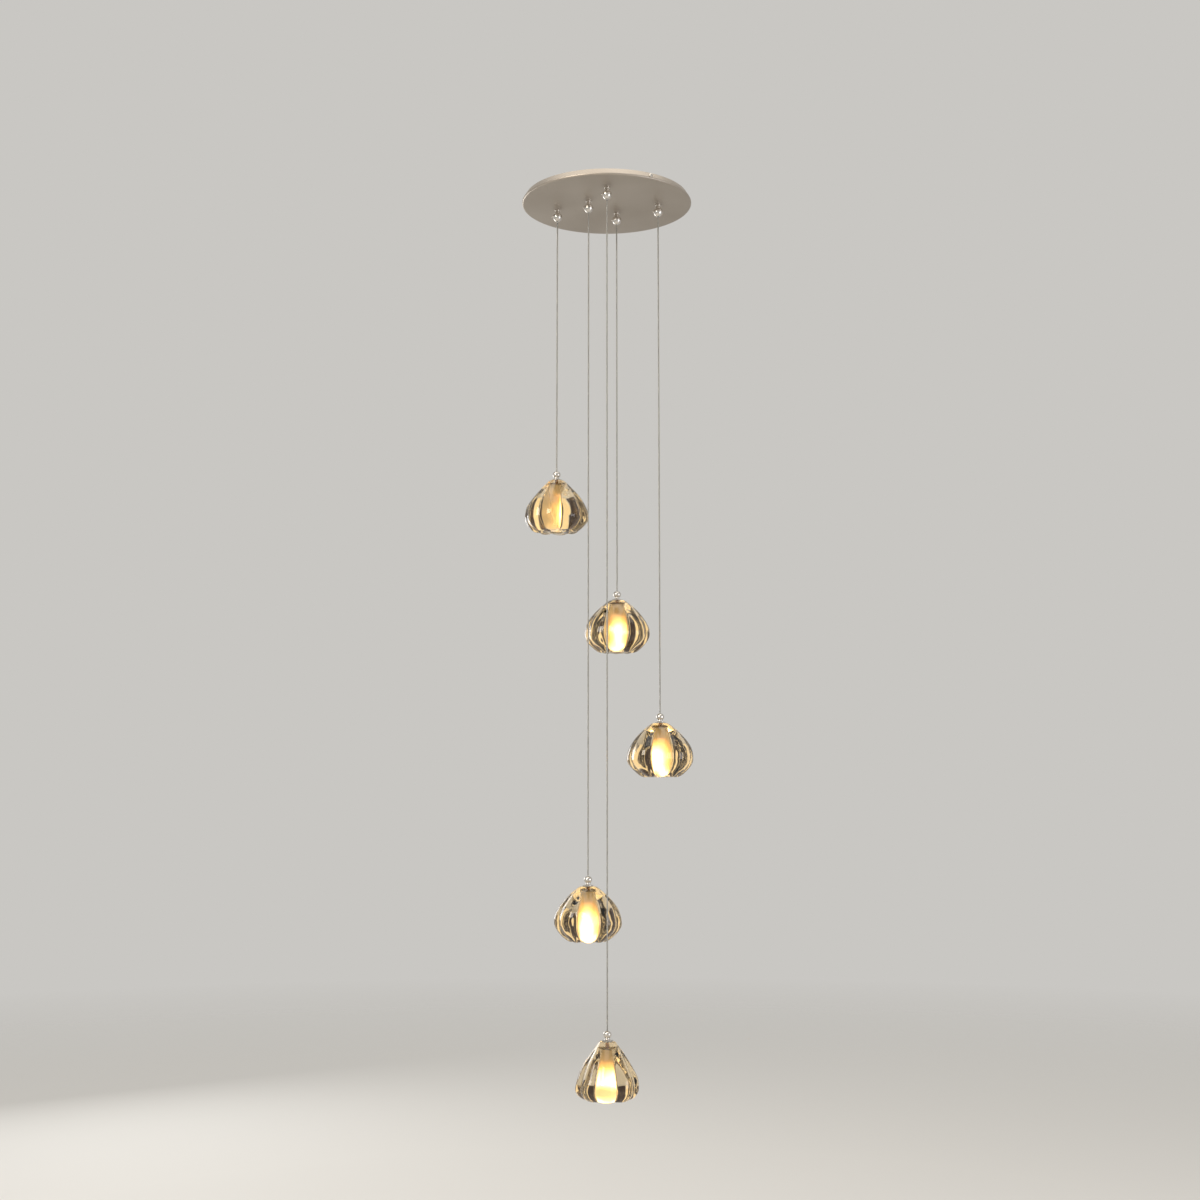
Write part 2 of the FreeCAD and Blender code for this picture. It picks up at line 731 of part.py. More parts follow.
def makeLeads():
    """One lead from each grip to the hub, and the driver's output lead to the hub."""
    level = -value("lead_level")
    low = value(pivot) + value("ball_radius + clamp_gap * 4")
    hubLeft = value("hub_x - hub_width / 2")
    hubRight = value("hub_x + hub_width / 2")
    straight = value("lead_bend") * 4
    ports = {1: (hubLeft, 1), 2: (hubLeft, 2), 3: (hubRight, -1), 4: (hubLeft, 0), 5: (hubLeft, -1)}
    leads = []
    for number, (face, port) in ports.items():
        x, y = value(f"drop_x_{number}"), value(f"drop_y_{number}")
        portY = value(f"hub_y + port_spacing * ({port} - 0.5)")
        outward = 1 if face == hubRight else -1
        route = [(x, y, low), (x, y, level), (face + outward * straight, portY, level), (face, portY, level)]
        leads.append(lead(route, [value("lead_bend"), gentle(*route[1:])]))
    endX, endY = (value(part) for part in tangentPlace("-driver_length / 2"))
    azimuth = math.radians(value("driver_azimuth"))
    out = (endX + straight * math.sin(azimuth), endY - straight * math.cos(azimuth), level)
    portY = value("hub_y + port_spacing")
    route = [(endX, endY, level), out, (hubRight + straight * 2, portY + straight, level),
             (hubRight + straight, portY, level), (hubRight, portY, level)]
    bends = [gentle(*route[index:index + 3]) * 0.9 for index in range(3)]
    leads.append(lead(route, bends))
    return shaped("inner_leads", Part.makeCompound(leads))


# Assembly
nodes += [makeCanopy(), makeCrossbar(), makeSideScrews(), makeDriver(), makeTerminalBlock(), makeLeadHub()]
nodes += [makeLeads(), makeLockNuts(), makeGripScrews()]
for number in drops:
    nodes += [makeGripStem(number), makeGripNut(number), makeBall(number), makeCord(number)]
    nodes += [makeCap(number), makeWashers(number), makeNipple(number)]
    nodes += [makeHolder(number), makeLamp(number), makeShade(number)]
doc.recompute()

# Every object is sound before anything is written
for item in doc.Objects:
    if "Invalid" in item.State or "Error" in item.State:
        raise ValueError(f"{item.Label} failed: {item.State}")
for node in nodes:
    if node.Shape.isNull() or not node.Shape.isValid():
        raise ValueError(f"{node.Label} has no sound shape")

for number in drops:
    length = value(f"drop_length_{number} + {pivot} - ball_radius - {capTop} + cord_entry")
    print(f"cord_{number}: {length:.1f} mm")

os.makedirs("parts", exist_ok=True)
for node in nodes:
    node.Shape.exportStep(f"parts/{node.Label}.step")
print(f"{len(nodes)} nodes written")
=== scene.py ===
import bmesh
import bpy
import math
import numpy as np
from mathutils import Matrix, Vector


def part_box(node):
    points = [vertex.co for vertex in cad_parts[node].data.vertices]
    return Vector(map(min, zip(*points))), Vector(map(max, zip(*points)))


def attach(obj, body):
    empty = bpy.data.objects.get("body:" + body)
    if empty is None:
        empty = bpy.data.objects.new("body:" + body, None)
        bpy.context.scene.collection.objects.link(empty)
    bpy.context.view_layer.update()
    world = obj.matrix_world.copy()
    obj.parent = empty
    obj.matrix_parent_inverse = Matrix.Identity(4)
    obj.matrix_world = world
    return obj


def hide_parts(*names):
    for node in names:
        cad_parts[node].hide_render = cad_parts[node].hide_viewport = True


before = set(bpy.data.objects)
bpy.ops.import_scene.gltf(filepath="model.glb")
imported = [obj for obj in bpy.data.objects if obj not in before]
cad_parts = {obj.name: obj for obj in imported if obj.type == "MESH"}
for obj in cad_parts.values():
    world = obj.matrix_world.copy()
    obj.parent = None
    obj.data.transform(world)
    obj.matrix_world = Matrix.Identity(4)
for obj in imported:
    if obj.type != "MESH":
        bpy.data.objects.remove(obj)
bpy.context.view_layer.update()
print("frame loaded:", len(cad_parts), "nodes")

# Cluster pendant: five lobed crystal shades on clear cords below a round canopy. Metres, +Z up,
# the ceiling is Z = 0. Pendants are numbered from the highest to the lowest.
mm = 0.001
pendants = range(1, 6)


# Camera: its place in metres, its tilt above level in degrees, lens and sensor in millimetres
camera = {"place": (-0.0118784, -2.859010, -1.058142), "pitchUp": 6.775, "lens": 50.0, "sensor": 36.0}


def addCamera(settings):
    data = bpy.data.cameras.new("camera")
    data.lens = settings["lens"]
    data.sensor_width = settings["sensor"]
    viewer = bpy.data.objects.new("camera", data)
    viewer.location = settings["place"]
    viewer.rotation_euler = (math.radians(90 + settings["pitchUp"]), 0, 0)
    bpy.context.scene.collection.objects.link(viewer)
    bpy.context.scene.camera = viewer


addCamera(camera)


# Material helpers
def hexColour(text):
    # sRGB to linear: a channel c is c / 12.92 below 0.04045, else ((c + 0.055) / 1.055) ** 2.4
    channels = [int(text[at:at + 2], 16) / 255 for at in (1, 3, 5)]
    linear = [c / 12.92 if c <= 0.04045 else ((c + 0.055) / 1.055) ** 2.4 for c in channels]
    return (*linear, 1.0)


def newMaterial(name, **sockets):
    # sockets are the Principled shader's own, with _ for a space
    material = bpy.data.materials.new(name)
    material.use_nodes = True
    shader = material.node_tree.nodes["Principled BSDF"]
    for socket, value in sockets.items():
        shader.inputs[socket.replace("_", " ")].default_value = value
    return material, material.node_tree, shader


def addNode(tree, kind, settings=None, inputs=None, links=None):
    # one node: its settings, its plain inputs, and links from other sockets
    node = tree.nodes.new(kind)
    for key, value in (settings or {}).items():
        setattr(node, key, value)
    for key, value in (inputs or {}).items():
        node.inputs[key].default_value = value
    for key, source in (links or {}).items():
        tree.links.new(source, node.inputs[key])
    return node


def feed(tree, shader, **sources):
    # links each source to the shader's socket of that name, again with _ for a space
    for socket, source in sources.items():
        tree.links.new(source, shader.inputs[socket.replace("_", " ")])


def surfaceNoise(tree, size, detail=2.0):
    # clouds about as wide as size, fixed to the piece
    place = addNode(tree, "ShaderNodeTexCoord")
    noise = addNode(tree, "ShaderNodeTexNoise", inputs={"Scale": 1 / size, "Detail": detail},
                    links={"Vector": place.outputs["Object"]})
    return noise.outputs["Fac"]


def surfaceWaves(tree, kind, pitch, inputs=None):
    # waves a pitch apart, fixed to the piece: at a scale of 1 the texture repeats every pi / 10
    place = addNode(tree, "ShaderNodeTexCoord")
    waves = addNode(tree, "ShaderNodeTexWave", settings=kind,
                    inputs={"Scale": math.pi / 10 / pitch, **(inputs or {})},
                    links={"Vector": place.outputs["Object"]})
    return waves.outputs["Fac"]


def spread(tree, source, low, high):
    # turns a 0 to 1 pattern into the range from low to high
    ranged = addNode(tree, "ShaderNodeMapRange", inputs={"To Min": low, "To Max": high},
                     links={"Value": source})
    return ranged.outputs["Result"]


def colourRamp(tree, source, stops):
    # colours a 0 to 1 pattern: each stop is a position and a hex colour
    ramp = addNode(tree, "ShaderNodeValToRGB", links={"Fac": source})
    elements = ramp.color_ramp.elements
    while len(elements) < len(stops):
        elements.new(0.5)
    for element, (position, colour) in zip(elements, stops):
        element.position = position
        element.color = hexColour(colour)
    return ramp.outputs["Color"]


def depthRamp(tree, stops):
    # colours a piece by the depth that markDepth gives its points
    depth = addNode(tree, "ShaderNodeAttribute", settings={"attribute_name": "depth"})
    return colourRamp(tree, depth.outputs["Fac"], stops)


def bump(tree, source, depth, strength=1.0):
    raised = addNode(tree, "ShaderNodeBump", inputs={"Strength": strength, "Distance": depth},
                     links={"Height": source})
    return raised.outputs["Normal"]


# Bright chromium on turned brass: a slightly warm mirror, softened by fine hand marks
def polishedChrome():
    markSize = 9 * mm
    material, tree, shader = newMaterial("polished_chrome", Base_Color=hexColour("#d2cdc6"), Metallic=1.0)
    marks = surfaceNoise(tree, markSize, 3.0)
    feed(tree, shader, Roughness=spread(tree, marks, 0.12, 0.22))
    return material


# Spun steel with a warm satin finish: rings round the centre blur what it mirrors
def satinSteel():
    ringPitch = 1.6 * mm  # real spinning marks are finer, drawn this coarse to show
    ringDepth, cloudSize = 0.01 * mm, 160 * mm
    material, tree, shader = newMaterial("satin_steel", Metallic=1.0)
    rings = surfaceWaves(tree, {"wave_type": "RINGS", "rings_direction": "Z"}, ringPitch,
                         {"Distortion": 1.5, "Detail": 4.0, "Detail Scale": 3.0})
    cloud = surfaceNoise(tree, cloudSize)
    feed(tree, shader, Base_Color=colourRamp(tree, cloud, [(0.3, "#a89e92"), (0.7, "#b7aea3")]),
         Roughness=spread(tree, rings, 0.4, 0.5), Normal=bump(tree, rings, ringDepth, 0.5))
    return material


# Bright zinc on pressed steel: bluish grey with the cloudy spangle of its passivation
def zincPlate():
    spangleSize = 7 * mm
    material, tree, shader = newMaterial("zinc_plate", Metallic=1.0, Roughness=0.38)
    spangle = surfaceNoise(tree, spangleSize, 5.0)
    feed(tree, shader, Base_Color=colourRamp(tree, spangle, [(0.35, "#a2a7ad"), (0.65, "#c8cacc")]))
    return material


# Turned brass tube with the rings of its thread
def turnedBrass():
    threadPitch, threadDepth = 1.0 * mm, 0.3 * mm
    material, tree, shader = newMaterial("turned_brass", Base_Color=hexColour("#c9a35a"), Metallic=1.0,
                                         Roughness=0.25)
    thread = surfaceWaves(tree, {"wave_type": "BANDS", "bands_direction": "Z"}, threadPitch)
    feed(tree, shader, Normal=bump(tree, thread, threadDepth))
    return material


# Moulded thermoplastic or pressed ceramic: even colour with a fine dry grain
def mouldedGrain(name, low, high, grain, roughness=0.5):
    grainDepth = 0.05 * mm
    material, tree, shader = newMaterial(name, Roughness=roughness)
    speck = surfaceNoise(tree, grain)
    feed(tree, shader, Base_Color=colourRamp(tree, speck, [(0.35, low), (0.65, high)]),
         Normal=bump(tree, speck, grainDepth, 0.3))
    return material


# Clear rubber or extruded vinyl: see-through, its gloss a little uneven
def clearPolymer(name, colour, clearness, index, roughness, cloudSize):
    material, tree, shader = newMaterial(name, Base_Color=hexColour(colour), Transmission_Weight=clearness,
                                         IOR=index)
    cloud = surfaceNoise(tree, cloudSize)
    feed(tree, shader, Roughness=spread(tree, cloud, roughness * 0.7, roughness * 1.3))
    return material


# Tinned copper strands: dull silver, broken up by the lay of the fine wires
def tinnedWire():
    layLength = 1.5 * mm
    material, tree, shader = newMaterial("tinned_wire", Metallic=1.0, Roughness=0.4)
    lay = surfaceNoise(tree, layLength)
    feed(tree, shader, Base_Color=colourRamp(tree, lay, [(0.35, "#a8a8a4"), (0.65, "#d8d8d4")]))
    return material


# Frosted glass of the lit lamp: amber at its base, burning out to white where the filament is, and
# golden towards its sides by painted shade that follows the viewing direction
def litCapsule():
    hazeSize = 6 * mm
    material, tree, shader = newMaterial("lit_capsule", Base_Color=hexColour("#fff2d8"), Roughness=0.5)
    glow = depthRamp(tree, [(0.4, "#463620"), (0.5, "#8e7448"), (0.6, "#f2dab0"), (0.7, "#fff2da")])
    # painted shade: the glow is dimmed to gold where the capsule's surface turns away from the camera, not
    # by any lamp
    away = addNode(tree, "ShaderNodeLayerWeight", inputs={"Blend": 0.5})
    gold = colourRamp(tree, away.outputs["Facing"],
                      [(0.06, "#ffffff"), (0.25, "#eec480"), (0.55, "#9a6e32")])
    # the mix node's inputs 6 and 7 are its two colours and its output 2 is the mixed one
    both = addNode(tree, "ShaderNodeMix", settings={"data_type": "RGBA", "blend_type": "MULTIPLY"},
                   inputs={"Factor": 1.0}, links={6: glow, 7: gold})
    haze = surfaceNoise(tree, hazeSize)
    feed(tree, shader, Emission_Color=both.outputs[2], Emission_Strength=spread(tree, haze, 6.4, 7.4))
    return material


# Fire-polished crystal: heavy clear glass with a breath of champagne, its skin gently wavy
def polishedCrystal():
    waveWidth, waveDepth = 18 * mm, 1.0 * mm
    material, tree, shader = newMaterial("polished_crystal", Base_Color=hexColour("#e6d3b0"), Roughness=0.0,
                                         Transmission_Weight=1.0, IOR=1.54)
    wave = surfaceNoise(tree, waveWidth, 1.0)
    feed(tree, shader, Normal=bump(tree, wave, waveDepth, 0.45))
    return material


# Acid-etched bore of the crystal: its emission is painted lamp light, a soft warm column though the glass
# is no lamp
def etchedCrystalPaintedGlow():
    material, tree, shader = newMaterial("etched_crystal_painted_glow", Base_Color=hexColour("#fff0d2"), Roughness=0.5,
                                         Transmission_Weight=0.9, IOR=1.54, Emission_Strength=0.7)
    # painted lamp light: the bore glows darker near the crown and brighter towards the mouth
    glow = depthRamp(tree, [(0.15, "#4e3f24"), (0.3, "#54442a"), (0.48, "#7c6438"), (0.7, "#be9a55"),
                            (0.88, "#ecd09a")])
    feed(tree, shader, Emission_Color=glow)
    return material


chrome = polishedChrome()
steel = satinSteel()
zinc = zincPlate()
brass = turnedBrass()
driverPlastic = mouldedGrain("driver_case_abs", "#d3d2cd", "#e2e1dd", 0.9 * mm)
terminalPlastic = mouldedGrain("terminal_polyamide", "#c4c1b2", "#d8d6ca", 0.7 * mm)
leadSilicone = mouldedGrain("lead_silicone", "#cbc9c1", "#dbd9d3", 0.6 * mm, 0.4)
ceramic = mouldedGrain("bisque_steatite", "#d9d3c4", "#eae5d9", 1.1 * mm, 0.7)
lampBase = mouldedGrain("lamp_base_steatite", "#e6e0d2", "#f2ede2", 0.9 * mm, 0.6)
clearSilicone = clearPolymer("clear_silicone", "#e6e4de", 0.6, 1.41, 0.35, 5 * mm)
clearVinyl = clearPolymer("clear_vinyl", "#dcdcd8", 0.75, 1.53, 0.15, 16 * mm)
wire = tinnedWire()
capsuleGlow = litCapsule()
crystal = polishedCrystal()
etched = etchedCrystalPaintedGlow()

nodeFinish = {
    "crossbar": zinc, "grip_lock_nuts": zinc, "canopy_side_screws": chrome, "grip_set_screws": chrome,
    "driver": driverPlastic, "terminal_block": terminalPlastic, "lead_hub": terminalPlastic,
    "inner_leads": leadSilicone, "grip_stem": chrome, "grip_nut": chrome, "cord_sleeve": clearSilicone,
    "cap": chrome, "seat_washers": clearSilicone, "nipple": brass, "lamp_holder": ceramic,
}


def finishNodes():
    # a node of one pendant is found by its name without the number
    for name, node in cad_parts.items():
        finish = nodeFinish.get(name) or nodeFinish.get(name.rsplit("_", 1)[0])
        if finish:
            node.data.materials.clear()
            node.data.materials.append(finish)


finishNodes()
print("materials")


# Mesh builders
def meshFromGrid(name, grid, closeDown=False):
    # rows run along the profile and columns round it, where the grid closes; each quad joins two rows
    # and two columns, and closeDown joins the last row to the first too
    rows, columns = grid.shape[:2]
    index = np.arange(rows * columns).reshape(rows, columns)
    if closeDown:
        index = np.vstack([index, index[:1]])
    index = np.hstack([index, index[:, :1]])
    quads = np.stack([index[:-1, :-1], index[:-1, 1:], index[1:, 1:], index[1:, :-1]], axis=-1)
    mesh = bpy.data.meshes.new(name)
    mesh.from_pydata(grid.reshape(-1, 3).tolist(), [], quads.reshape(-1, 4).tolist())
    return mesh


def tidyMesh(mesh, weld=0.001 * mm, crease=40):
    # welds poles and seams, turns faces outwards and keeps edges sharper than crease degrees
    work = bmesh.new()
    work.from_mesh(mesh)
    bmesh.ops.remove_doubles(work, verts=work.verts, dist=weld)
    bmesh.ops.dissolve_degenerate(work, edges=work.edges, dist=weld)
    bmesh.ops.recalc_face_normals(work, faces=work.faces)
    work.to_mesh(mesh)
    work.free()
    mesh.shade_smooth()
    mesh.set_sharp_from_angle(angle=math.radians(crease))
    return mesh


def joinMeshes(name, meshes):
    work = bmesh.new()
    for mesh in meshes:
        work.from_mesh(mesh)
    joined = bpy.data.meshes.new(name)
    work.to_mesh(joined)
    work.free()
    return joined


def addPiece(name, mesh, materials, body, replaced=()):
    piece = bpy.data.objects.new(name, mesh)
    bpy.context.scene.collection.objects.link(piece)
    for material in materials:
        mesh.materials.append(material)
    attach(piece, body)
    if replaced:
        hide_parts(*replaced)
    return piece


def arc(centre, radius, start, end, steps):
    # points at centre + radius (cos a, sin a), a from start to end in degrees
    angles = np.radians(np.linspace(start, end, steps))
    return list(zip(centre[0] + radius * np.cos(angles), centre[1] + radius * np.sin(angles)))


def spin(profile, sides):
    # points of a surface of revolution: (r cos a, r sin a, z) for each (r, z) of the profile
    profile = np.asarray(profile, float)
    angles = np.linspace(0, 2 * math.pi, sides, endpoint=False)
    grid = np.empty((len(profile), sides, 3))
    grid[..., 0] = profile[:, :1] * np.cos(angles)
    grid[..., 1] = profile[:, :1] * np.sin(angles)
    grid[..., 2] = profile[:, 1:]
    return grid


def lathe(name, profile, centre, sides):
    # a turned piece from a closed profile
    return tidyMesh(meshFromGrid(name, spin(profile, sides) + np.array(centre), closeDown=True))


def nodeAxis(node):
    low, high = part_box(node)
    return ((low[0] + high[0]) / 2, (low[1] + high[1]) / 2)


# Cords: the same straight routes as in the part's source
cordLook = {"diameter": 2.4 * mm, "strand": 0.42 * mm, "strandOffset": 0.45 * mm, "lay": 16 * mm,
            "strandSides": 8, "stepsPerLay": 10, "strandInset": 0.3 * mm, "sheathSteps": 6}
cordRoutes = {
    1: [(-0.088, 0.022, -0.03502), (-0.088, 0.022, -0.2643), (-0.088, 0.022, -0.4935)],
    2: [(0.018, 0.038, -0.03502), (0.018, 0.038, -0.3693), (0.018, 0.038, -0.7035)],
    3: [(0.091, -0.004, -0.03502), (0.091, -0.004, -0.4773), (0.091, -0.004, -0.9195)],
    4: [(-0.032, -0.024, -0.03502), (-0.032, -0.024, -0.6143), (-0.032, -0.024, -1.1935)],
    5: [(0.0, -0.09, -0.03502), (0.0, -0.09, -0.7368), (0.0, -0.09, -1.4385)],
}


def cordCurve(name, points):
    curve = bpy.data.curves.new(name, "CURVE")
    curve.dimensions = "3D"
    spline = curve.splines.new("NURBS")
    spline.points.add(len(points) - 1)
    for knot, point in zip(spline.points, points):
        knot.co = (*point, 1.0)
    spline.order_u = 3
    spline.use_endpoint_u = True
    curve.bevel_depth = cordLook["diameter"] / 2
    curve.bevel_resolution = cordLook["sheathSteps"]
    curve.use_fill_caps = True
    return curve


# Two tinned cores twisted about each other inside the clear sheath: each is a helix of angle
# 2 pi (z / lay) about the cord, carried round by a small ring of its own radius
def cordCores(number):
    top, _, bottom = cordRoutes[number]
    sides, inset = cordLook["strandSides"], cordLook["strandInset"]
    steps = int((top[2] - bottom[2]) / cordLook["lay"] * cordLook["stepsPerLay"])
    z = np.linspace(top[2] - inset, bottom[2] + inset, steps)[:, None]
    ring = np.linspace(0, 2 * math.pi, sides, endpoint=False)[None, :]
    meshes = []
    for start in (0, math.pi):
        turn = 2 * math.pi * z / cordLook["lay"] + start
        grid = np.empty((steps, sides, 3))
        grid[..., 0] = (top[0] + cordLook["strandOffset"] * np.cos(turn)
                        + cordLook["strand"] * np.cos(ring))
        grid[..., 1] = (top[1] + cordLook["strandOffset"] * np.sin(turn)
                        + cordLook["strand"] * np.sin(ring))
        grid[..., 2] = z
        caps = np.concatenate([grid[:1].mean(axis=1, keepdims=True).repeat(sides, axis=1), grid,
                               grid[-1:].mean(axis=1, keepdims=True).repeat(sides, axis=1)])
        meshes.append(meshFromGrid("core", caps))
    return tidyMesh(joinMeshes(f"cord_cores_{number}", meshes))


def addCord(number):
    cores = addPiece(f"cord_cores_{number}", cordCores(number), [wire], f"cord_{number}")
    sheath = addPiece(f"cord_sheath_{number}", cordCurve(f"cord_sheath_{number}", cordRoutes[number]),
                      [clearVinyl], f"cord_{number}", [f"cord_{number}"])


for number in pendants:
    addCord(number)
print("cords")


# Canopy: a spun pan with a rounded rim, its wall leaning in towards the ceiling
canopyShape = {"radius": 150 * mm, "topRadius": 144 * mm, "height": 13 * mm, "sheet": 1 * mm,
               "bend": 2.6 * mm, "bendSteps": 14, "sides": 360, "gripHole": 4.05 * mm,
               "sideHole": 2.05 * mm, "sideHoleDrop": 6.5 * mm, "gripPeg": 6 * mm, "sidePeg": 20 * mm,
               "barAzimuth": -60, "crease": 30}


def canopyProfile(shape):
    # outer skin: flat floor, an arc round the rim, then the wall that touches the arc; the inner
    # skin comes back a sheet's thickness inside it
    bend, floor = shape["bend"], -shape["height"]
    centre = (shape["radius"] - bend, floor + bend)
    across, up = centre[0] - shape["topRadius"], -centre[1]
    wallAngle = 90 - math.degrees(math.atan2(up, across) - math.asin(bend / math.hypot(across, up)))
    outer = [(0, floor), (centre[0] / 2, floor)] + arc(centre, bend, -90, wallAngle, shape["bendSteps"])
    inner = [(shape["topRadius"] - shape["sheet"], 0)]
    inner += arc(centre, bend - shape["sheet"], wallAngle, -90, shape["bendSteps"])
    inner += [(centre[0] / 2, floor + shape["sheet"]), (0, floor + shape["sheet"])]
    return outer + [(shape["topRadius"], 0)] + inner


def pegMesh(centre, direction, radius, length, sides=48):
    # a round peg for cutting holes: rings of the radius at both ends, closed by a point each
    along = Vector(direction).normalized()
    turn = along.to_track_quat("Z", "Y").to_matrix()
    half = length / 2
    grid = spin([(0, -half), (radius, -half), (radius, half), (0, half)], sides)
    return tidyMesh(meshFromGrid("peg", grid @ np.array(turn).T + np.array(centre)))


def cutHoles(mesh, pegs):
    # takes the pegs out of the mesh with an exact boolean and gives back the plain result
    blank = bpy.data.objects.new("blank", mesh)
    cutter = bpy.data.objects.new("cutter", joinMeshes("pegs", pegs))
    for thing in (blank, cutter):
        bpy.context.scene.collection.objects.link(thing)
    cut = blank.modifiers.new("holes", "BOOLEAN")
    cut.operation, cut.solver, cut.object = "DIFFERENCE", "EXACT", cutter
    result = bpy.data.meshes.new_from_object(blank.evaluated_get(bpy.context.evaluated_depsgraph_get()))
    for thing in (blank, cutter):
        bpy.data.objects.remove(thing)
    return result


def addCanopy(shape):
    mesh = lathe("canopy_pan", canopyProfile(shape), (0, 0, 0), shape["sides"])
    pegs = []
    for number in pendants:
        x, y = nodeAxis(f"grip_stem_{number}")
        pegs.append(pegMesh((x, y, -shape["height"]), (0, 0, 1), shape["gripHole"], shape["gripPeg"]))
    azimuth = math.radians(shape["barAzimuth"])
    along = (math.cos(azimuth), math.sin(azimuth), 0)
    for side in (-1, 1):
        middle = [side * shape["radius"] * part for part in along[:2]] + [-shape["sideHoleDrop"]]
        pegs.append(pegMesh(middle, along, shape["sideHole"], shape["sidePeg"]))
    mesh = cutHoles(mesh, pegs)
    mesh.shade_smooth()
    mesh.set_sharp_from_angle(angle=math.radians(shape["crease"]))
    addPiece("canopy_pan", mesh, [steel], "root", ["canopy"])


addCanopy(canopyShape)
print("canopy")


# Crystals: thick lobed glass like a peeled fruit, with an etched bore for the lamp. Depths are
# measured down from the top of the glass
crystalShape = {"lobes": 8, "grooveWidth": 0.2, "height": 92 * mm, "seat": 13 * mm, "bore": 3.4 * mm,
                "cavity": 10 * mm, "crown": 14 * mm, "scallop": 3 * mm, "columns": 192,
                "seatRound": 2 * mm, "shoulder": 1.5 * mm, "skirt": 85.6 * mm, "hemRound": 6 * mm,
                "lipRound": 3 * mm, "roofRound": 0.8 * mm}
# points along each stretch of the profile
crystalRows = {"seat": 6, "side": 54, "hem": 12, "under": 8, "lip": 9, "wall": 24, "roof": 6}
# how unlike each other the lobes are, and where the grooves fade in and out
crystalHand = {"wander": 0.045, "ripple": 0.03, "depthChange": 0.12, "driftStep": 1.9, "seatFade": 1.6,
               "mouthFadeFrom": 4 * mm, "mouthFade": 12 * mm, "scallopOver": 30 * mm}
crystalForms = {
    "plump": {"halfWidth": 57.4 * mm, "widest": 60 * mm, "mouth": 33 * mm, "shoulderPower": 0.9,
              "groove": 0.075, "sway": 0.008},
    "flared": {"halfWidth": 57.4 * mm, "widest": 66 * mm, "mouth": 39 * mm, "shoulderPower": 1.0,
               "groove": 0.075, "sway": 0.012},
    "bell": {"halfWidth": 52.4 * mm, "widest": 76 * mm, "mouth": 41 * mm, "shoulderPower": 1.05,
             "groove": 0.115, "sway": 0.014},
}
# each pendant's form and its turn about the cord in degrees
crystalMakes = {1: ("flared", -10), 2: ("plump", 0), 3: ("plump", 0), 4: ("plump", 0), 5: ("bell", 0)}


def bezier(start, control, end, steps):
    # quadratic curve (1 - t)^2 start + 2 t (1 - t) control + t^2 end
    t = np.linspace(0, 1, steps)[:, None]
    return (1 - t) ** 2 * np.array(start) + 2 * t * (1 - t) * np.array(control) + t ** 2 * np.array(end)


def crystalRadius(depth, shape):
    # a sine rise from the seat to the widest ring, then a cosine fall to the mouth
    widest = shape["widest"]
    swell, tuck = shape["halfWidth"] - shape["seat"], shape["halfWidth"] - shape["mouth"]
    climb = np.minimum(depth / widest, 1) ** shape["shoulderPower"]
    rise = shape["seat"] + swell * np.sin(math.pi / 2 * climb)
    share = np.maximum(depth - widest, 0) / (shape["height"] - widest)
    return rise - tuck * (1 - np.cos(math.pi / 2 * share))


def crystalProfile(shape):
    # closed loop of (radius, depth): over the seat, down the outside, in under the mouth, up the
    # bore to the crown and out at the top; the corners are quadratic curves
    height, cavity, crown, bore = shape["height"], shape["cavity"], shape["crown"], shape["bore"]
    seat, shoulder, skirt, mouth = shape["seat"], shape["shoulder"], shape["skirt"], shape["mouth"]
    lipRound, roofRound, rows = shape["lipRound"], shape["roofRound"], crystalRows
    top = bezier((seat - shape["seatRound"], 0), (seat, 0),
                 (crystalRadius(shoulder, shape), shoulder), rows["seat"])
    depths = np.linspace(shoulder, skirt, rows["side"])[1:-1]
    side = np.stack([crystalRadius(depths, shape), depths], axis=1)
    hem = bezier((crystalRadius(skirt, shape), skirt), (mouth, height),
                 (mouth - shape["hemRound"], height), rows["hem"])
    lip = bezier((cavity + lipRound, height), (cavity, height), (cavity, height - lipRound), rows["lip"])
    under = np.linspace(hem[-1], lip[0], rows["under"])[1:-1]
    roof = bezier((cavity, crown + roofRound), (cavity, crown), (cavity - roofRound, crown), rows["roof"])
    wall = np.linspace(lip[-1], roof[0], rows["wall"])[1:-1]
    throat = [(bore, crown), (bore, crown / 2), (bore, 0)]
    return np.concatenate([top, side, hem, under, lip, wall, roof, throat])


